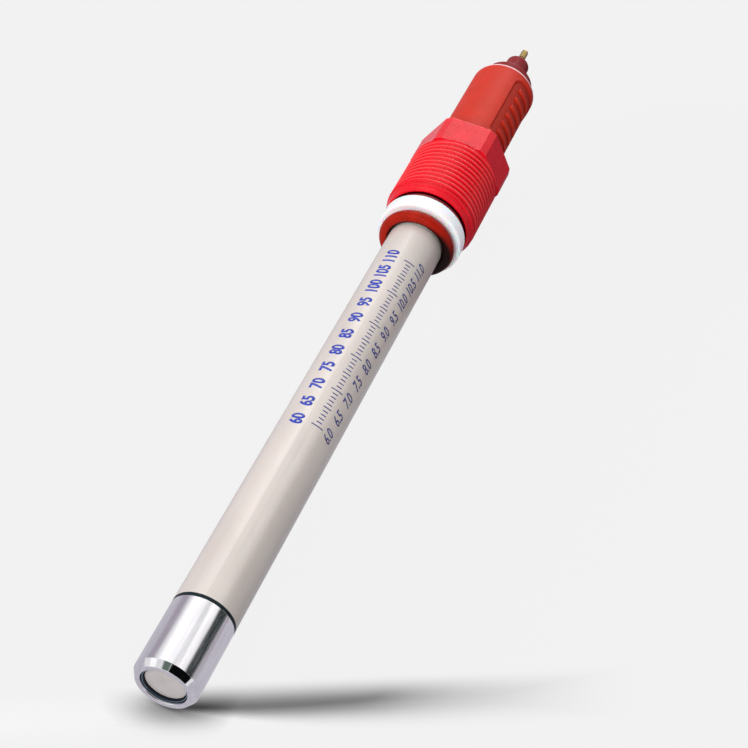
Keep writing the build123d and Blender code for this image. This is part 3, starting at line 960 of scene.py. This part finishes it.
class ELECTRODE_OT_head(bpy.types.Operator):
    """Barrel of the head with its sunk label panel and the plain ribs on it"""

    bl_idname = "electrode.head"
    bl_label = "Head housing"

    panel_length = 23.1
    panel_middle = SHOULDER + 2.0 + panel_length / 2

    def execute(self, context):
        sizes, colours = context.scene.electrode_sizes, context.scene.electrode_colours
        outer = sizes.housing_diameter / 2 / MM
        satin = moulded(
            "housing_red",
            colours.housing,
            (0.40, 0.55),
            grain=0.005,
            variation=0.08,
            gloss=0.13,
            # Painted shade on the panel's floor, and a pale painted highlight on the rim
            shade_in_hollows=[(outer - 0.34, outer - 0.12, 0.74, SHOULDER, HOUSING_END - 1)],
            rim=HOUSING_END - 0.7,
        )
        barrel = self.barrel(outer, sizes.panel_angle, sizes.panel_depth / MM)
        settle(barrel, satin, "electrode", "housing_red", "head_housing")
        floor_radius = sizes.housing_diameter / 2 - sizes.panel_depth
        ribs = grown(
            "panel_ribs",
            sliced(flat_bar(6.4, 1.4, 0.32, ends=8, rounding=0.14, base=-0.1), 0.3 * MM),
            row_recipe(),
            satin,
            Count=sizes.rib_count,
            Start=(self.panel_middle * MM) - sizes.rib_pitch * (sizes.rib_count - 1) / 2,
            Spacing=sizes.rib_pitch,
            Way_round=floor_radius * (sizes.panel_angle - math.radians(6)),
            Radius=floor_radius,
        )
        settle(ribs, satin, "electrode", "housing_red")
        return {"FINISHED"}

    def barrel(self, outer, middle, depth):
        """Barrel and journal, with the panel sunk to an even depth round the direction middle."""
        cavity = outer - 2.0
        corners = rounded(
            (COLLAR_END, JOURNAL_BORE, 0),
            (COLLAR_END, JOURNAL, 0),
            (SHOULDER, JOURNAL, 0),
            (SHOULDER, outer, 0.12),
            (HOUSING_END, outer, 0.5),
            (HOUSING_END, cavity, 0.05),
            (SHAFT_END, cavity, 0),
            (SHAFT_END, JOURNAL_BORE, 0),
        )
        outline = thicken_rows(corners, SHOULDER, HOUSING_END, outer - 0.01, 0.16)
        # Dense columns across the panel and sparse ones elsewhere
        near = middle + np.radians(np.linspace(-50, 50, 121))
        far = middle + np.radians(np.linspace(50, 310, 92)[1:-1])
        half_length, half_width, corner = self.panel_length / 2, 5.4, 2.6
        edge_start, edge_width = 0.10, 0.26

        def sink(stations, turns, radii):
            away = (turns - middle + math.pi) % (2 * math.pi) - math.pi
            x = np.abs(stations - self.panel_middle) - half_length + corner
            y = np.abs(outer * np.sin(away)) - half_width + corner
            distance = np.hypot(np.maximum(x, 0), np.maximum(y, 0)) + np.minimum(np.maximum(x, y), 0) - corner
            inside = np.clip((edge_start - distance) / edge_width, 0, 1)
            inside = inside * inside * (3 - 2 * inside)
            facing = (np.cos(away) > 0) & (radii > outer - 0.1)
            return depth * inside * facing

        piece = turned("housing_barrel", outline, np.concatenate([near, far]), sink)
        crease_edges(piece, 40)
        return piece


class ELECTRODE_OT_plug(bpy.types.Operator):
    """Plug disc and neck, the contact ring and the gold pin"""

    bl_idname = "electrode.plug"
    bl_label = "Plug and contacts"

    def execute(self, context):
        colours = context.scene.electrode_colours
        hole, spigot, disc, neck, spigot_start = 0.77, 5.55, 5.95, 2.8, HOUSING_END - 3
        groove_inner, groove_outer, groove_floor = 3.45, 4.75, PLUG_TOP - 1.25
        outline = rounded(
            (spigot_start, hole, 0),
            (spigot_start, spigot, 0),
            (HOUSING_END, spigot, 0),
            (HOUSING_END, disc, 0.06),
            (PLUG_TOP, disc, 0.35),
            (PLUG_TOP, groove_outer, 0.05),
            (groove_floor, groove_outer, 0),
            (groove_floor, groove_inner, 0),
            (PLUG_TOP, groove_inner, 0.05),
            (PLUG_TOP, neck, 0.12),
            (NECK_END, neck, 0.3),
            (NECK_END, hole, 0.05),
        )
        body = turned("plug_body", outline, all_round(144))
        crease_edges(body, 50)
        dark_red = moulded("plug_red", colours.plug, (0.24, 0.36), gloss=0.14)
        settle(body, dark_red, "electrode", "plug_red", "head_plug")
        coat(plated(colours.gold), "contact_pin", "contact_ring")
        return {"FINISHED"}


class ELECTRODE_OT_inside(bpy.types.Operator):
    """Finishes of the pieces inside the shaft and the head"""

    bl_idname = "electrode.inside"
    bl_label = "Inner pieces"

    def execute(self, context):
        silver = plain_inner("silver", (0.62, 0.60, 0.58), (0.80, 0.79, 0.76), 0.6, 0.2, 0.4, metallic=1.0)
        coat(silver, "measuring_element", "reference_element")
        for name, first, second, size, low, high, *nodes in INNER:
            coat(plain_inner(name, first, second, size, low, high), *nodes)
        return {"FINISHED"}


# Glowing and dark cards that gloss reflects: name, degrees round the axis and share along it, half
# angle, colour, distance, share of the radius that fades, and how far it is drawn out
CARDS = (
    ("card_key", -38, 0.50, 26, (1.30, 1.29, 1.29), 0.90, 0.3, 1),
    ("card_second", 18, 0.50, 13, (1.22, 1.20, 1.19), 0.90, 0.3, 1),
    ("streak_left", -44, 0.60, 2.4, (8.0, 7.8, 7.8), 0.84, 0.9, 6),
    ("streak_right", 10, 0.60, 2.0, (6.5, 6.4, 6.4), 0.84, 0.9, 6),
    ("card_right", 51, 0.50, 17, (0.003, 0.012, 0.013), 0.89, 0.2, 1),
    ("card_low_right", 94, 0.50, 32, (0.56, 0.53, 0.57), 0.92, 0.4, 1),
    ("card_left", -98, 0.50, 27, (0.42, 0.38, 0.44), 0.92, 0.5, 1),
    ("card_flat", -28, 0.76, 9, (2.8, 2.8, 2.8), 0.86, 0.5, 1),
    ("card_rim", -12, 0.985, 17, (3.2, 3.0, 3.0), 0.86, 0.4, 1),
    ("card_camera", 26, -0.50, 33, (0.003, 0.004, 0.004), 0.90, 0.05, 1),
    ("card_side", -25, -0.46, 16, (0.14, 0.19, 0.16), 0.88, 0.3, 1),
    ("card_chamfer", -70, -0.36, 15, (1.25, 1.25, 1.25), 0.89, 0.5, 1),
)


class ELECTRODE_OT_stage(bpy.types.Operator):
    """Pale floor, sky, lamps and the camera"""

    bl_idname = "electrode.stage"
    bl_label = "Studio"

    def execute(self, context):
        studio = context.scene.electrode_studio
        floor = self.floor(studio)
        self.floor_lamp(floor, studio.low)
        self.sky(context.scene, studio)
        self.softbox("key_box", direction(-38, 0.55), 26, studio.key)
        self.softbox("front_box", direction(-38, -0.78), 22, studio.fill)
        self.softbox("head_box", direction(-22, 0.95), 8.5, studio.head).visible_glossy = True
        ring_lamp = self.softbox("ring_box", direction(75, -0.10), 24, studio.ring)
        light_only(ring_lamp, context.scene.objects.get("slip_ring_shell"))
        for name, round_axis, along_axis, *looks in CARDS:
            self.card(name, direction(round_axis, along_axis), *looks)
        self.camera(context.scene, studio)
        return {"FINISHED"}

    def floor(self, studio):
        """Grey floor for shadows beside the tip. It shines at the background's brightness elsewhere,
        throws even light back on the electrode, and has a colour of its own in gloss."""
        reach = 3.0
        corners = [(x * reach, y * reach, 0) for x, y in ((-1, -1), (1, -1), (1, 1), (-1, 1))]
        floor, tree = sheet("floor", corners, "floor_pale")
        shader = tree.tree.nodes["Principled BSDF"]
        contact = tree.node("ShaderNodeAmbientOcclusion")
        tree.feed(contact.inputs, Color=(*studio.floor, 1), Distance=7 * MM)
        shaded = tree.mixed(1, contact.outputs["Color"], contact.outputs["AO"], blend="MULTIPLY")
        tree.feed(shader.inputs, Base_Color=shaded, Roughness=0.9, Specular_IOR_Level=0.1)
        ray = tree.node("ShaderNodeLightPath").outputs
        glow = tree.mixed(ray["Is Diffuse Ray"], (studio.background,) * 3, (studio.bounce,) * 3)
        glow = tree.mixed(ray["Is Glossy Ray"], glow, self.floor_in_gloss(tree))
        unseen = tree.math("SUBTRACT", 1, ray["Is Camera Ray"])
        outshone = tree.math("MAXIMUM", unseen, self.away_from_tip(tree))
        tree.surface(outshone, shader.outputs[0], tree.made("ShaderNodeEmission", glow))
        return floor

    def floor_in_gloss(self, tree):
        """Colour of the floor in reflections: pale lilac, but dark at one side of the head."""
        x, y, _ = tree.split(tree.coordinates())
        corner = tree.math("MULTIPLY", tree.fade(x, 5, 30), tree.fade(y, -5, 5, 1, 0))
        return tree.mixed(corner, (0.58, 0.56, 0.62), (0.26, 0.15, 0.20))

    def away_from_tip(self, tree):
        """How much the lit-up floor outshines shadows: little in a band beside the tip, where the
        electrode touches the ground, and nearly all elsewhere."""
        x, y, _ = tree.split(tree.coordinates((TIP.x, 0, 0), (0, 0, BAND_TURN)))
        outside = tree.fade(y, -0.5, 5)
        for value, start, end in ((y, -1.5, -7), (x, 56, 86), (x, -22, -40)):
            outside = tree.math("MAXIMUM", outside, tree.fade(value, start, end))
        return tree.math("MULTIPLY", outside, 0.985)

    def floor_lamp(self, floor, brightness):
        """Low lamp for the floor alone, which lays the tip's shadow along the picture's foot."""
        towards = Vector((-math.cos(BAND_TURN), -math.sin(BAND_TURN), 0))
        towards = (towards * math.cos(LOW) + Vector((0, 0, math.sin(LOW)))).normalized()
        lamp = self.softbox("floor_box", towards, 6.5, brightness, 4.0)
        light_only(lamp, floor)

    def sky(self, scene, studio):
        """Even light for matt surfaces, and the pale background for the eye, gloss and glass."""
        world = scene.world = bpy.data.worlds.new("studio")
        world.use_nodes = True
        tree = Tree(world.node_tree)
        even = world.node_tree.nodes["Background"]
        tree.feed(even.inputs, Color=(1, 1, 1, 1), Strength=studio.sky)
        pale = tree.made("ShaderNodeBackground", (1, 1, 1, 1), studio.background)
        ray = tree.node("ShaderNodeLightPath").outputs
        seen = tree.math("MAXIMUM", ray["Is Camera Ray"], ray["Is Glossy Ray"])
        seen = tree.math("MAXIMUM", seen, ray["Is Transmission Ray"])
        tree.surface(seen, even.outputs[0], pale, "World Output")

    def softbox(self, name, towards, half_angle, brightness, distance=2.2):
        """Round lamp of an even brightness that fills a cone seen from the object, unseen in gloss."""
        radius = distance * math.tan(math.radians(half_angle))
        data = bpy.data.lights.new(name, "AREA")
        data.shape = "DISK"
        data.size = 2 * radius
        data.energy = brightness * math.pi * math.pi * radius**2
        lamp = linked(bpy.data.objects.new(name, data))
        lamp.location = towards * distance
        lamp.rotation_euler = (-towards).to_track_quat("-Z", "Y").to_euler()
        lamp.visible_glossy = False
        return lamp

    def card(self, name, towards, half_angle, colour, distance, softness, stretch):
        """Glowing or dark card that only gloss reflects, fading over the outer share of its radius
        and drawn out along the electrode by the stretch."""
        radius = distance * math.tan(math.radians(half_angle))
        rim = [(radius * math.cos(a), radius * math.sin(a), 0) for a in all_round(48)]
        card, tree = sheet(name, rim, name)
        across = (PLACE.to_3x3() @ Vector((1, 0, 0))).cross(towards).normalized()
        turn = Matrix((across, towards.cross(across), towards)).transposed().to_4x4()
        there = Matrix.Translation(towards * distance)
        card.matrix_world = there @ turn @ Matrix.Diagonal((1, stretch, 1, 1))
        away = tree.length(tree.coordinates())
        fade = tree.spread(away, 1, 0, radius * (1 - softness), radius, "SMOOTHSTEP")
        glow = tree.made("ShaderNodeEmission", (*colour, 1))
        tree.surface(fade, tree.made("ShaderNodeBsdfTransparent"), glow)
        for kind in ("camera", "diffuse", "shadow", "transmission", "volume_scatter"):
            setattr(card, "visible_" + kind, False)

    def camera(self, scene, studio):
        data = bpy.data.cameras.new("camera")
        data.sensor_width = 36
        data.lens = studio.lens
        data.clip_start = 0.01
        camera = scene.camera = linked(bpy.data.objects.new("camera", data))
        camera.location = (-0.2505963, -0.060893, 0.241876)
        camera.rotation_euler = [math.radians(a) for a in (45.23041, -7.57556, -69.19858)]


def sheet(name, rim, finish):
    """Flat piece of the stage inside a rim, and the node tree of its material."""
    mesh = bpy.data.meshes.new(name)
    mesh.from_pydata(rim, [], [tuple(range(len(rim)))])
    mesh.materials.append(new_material(finish))
    return linked(bpy.data.objects.new(name, mesh)), Tree(mesh.materials[0].node_tree)


def light_only(lamp, piece):
    """Lets a lamp light one piece alone."""
    lit = bpy.data.collections.new(lamp.name + "_lit")
    if piece:
        lit.objects.link(piece)
    lamp.light_linking.receiver_collection = lit


def direction(round_axis, along_axis):
    """Direction by its angle round the electrode's axis, in degrees from the side that faces the
    camera, clockwise seen from the tip, and by its share along the axis."""
    angle = math.radians(round_axis + FACING)
    across = Vector((0, -math.sin(angle), math.cos(angle))) * math.sqrt(1 - along_axis**2)
    return (PLACE.to_3x3() @ Vector((along_axis, across.y, across.z))).normalized()


OPERATORS = (
    ELECTRODE_OT_tip,
    ELECTRODE_OT_shaft,
    ELECTRODE_OT_seal_rings,
    ELECTRODE_OT_screw_cap,
    ELECTRODE_OT_head,
    ELECTRODE_OT_plug,
    ELECTRODE_OT_inside,
    ELECTRODE_OT_stage,
)


class ELECTRODE_PT_panel(bpy.types.Panel):
    """Lists the electrode's builders"""

    bl_label = "Electrode"
    bl_space_type = "VIEW_3D"
    bl_region_type = "UI"
    bl_category = "Electrode"

    def draw(self, context):
        for operator in OPERATORS:
            self.layout.operator(operator.bl_idname)


GROUPS = {
    "electrode_sizes": ElectrodeSizes,
    "electrode_colours": ElectrodeColours,
    "electrode_studio": StudioSettings,
}


def register():
    for name, group in GROUPS.items():
        bpy.utils.register_class(group)
        setattr(bpy.types.Scene, name, PointerProperty(type=group))
    for operator in OPERATORS:
        bpy.utils.register_class(operator)
    bpy.utils.register_class(ELECTRODE_PT_panel)


def unregister():
    bpy.utils.unregister_class(ELECTRODE_PT_panel)
    for operator in reversed(OPERATORS):
        bpy.utils.unregister_class(operator)
    for name, group in GROUPS.items():
        delattr(bpy.types.Scene, name)
        bpy.utils.unregister_class(group)


def main():
    register()
    bpy.context.scene.view_settings.view_transform = "Standard"
    for operator in OPERATORS:
        group, name = operator.bl_idname.split(".")
        getattr(getattr(bpy.ops, group), name)()


if __name__ == "__main__":
    main()
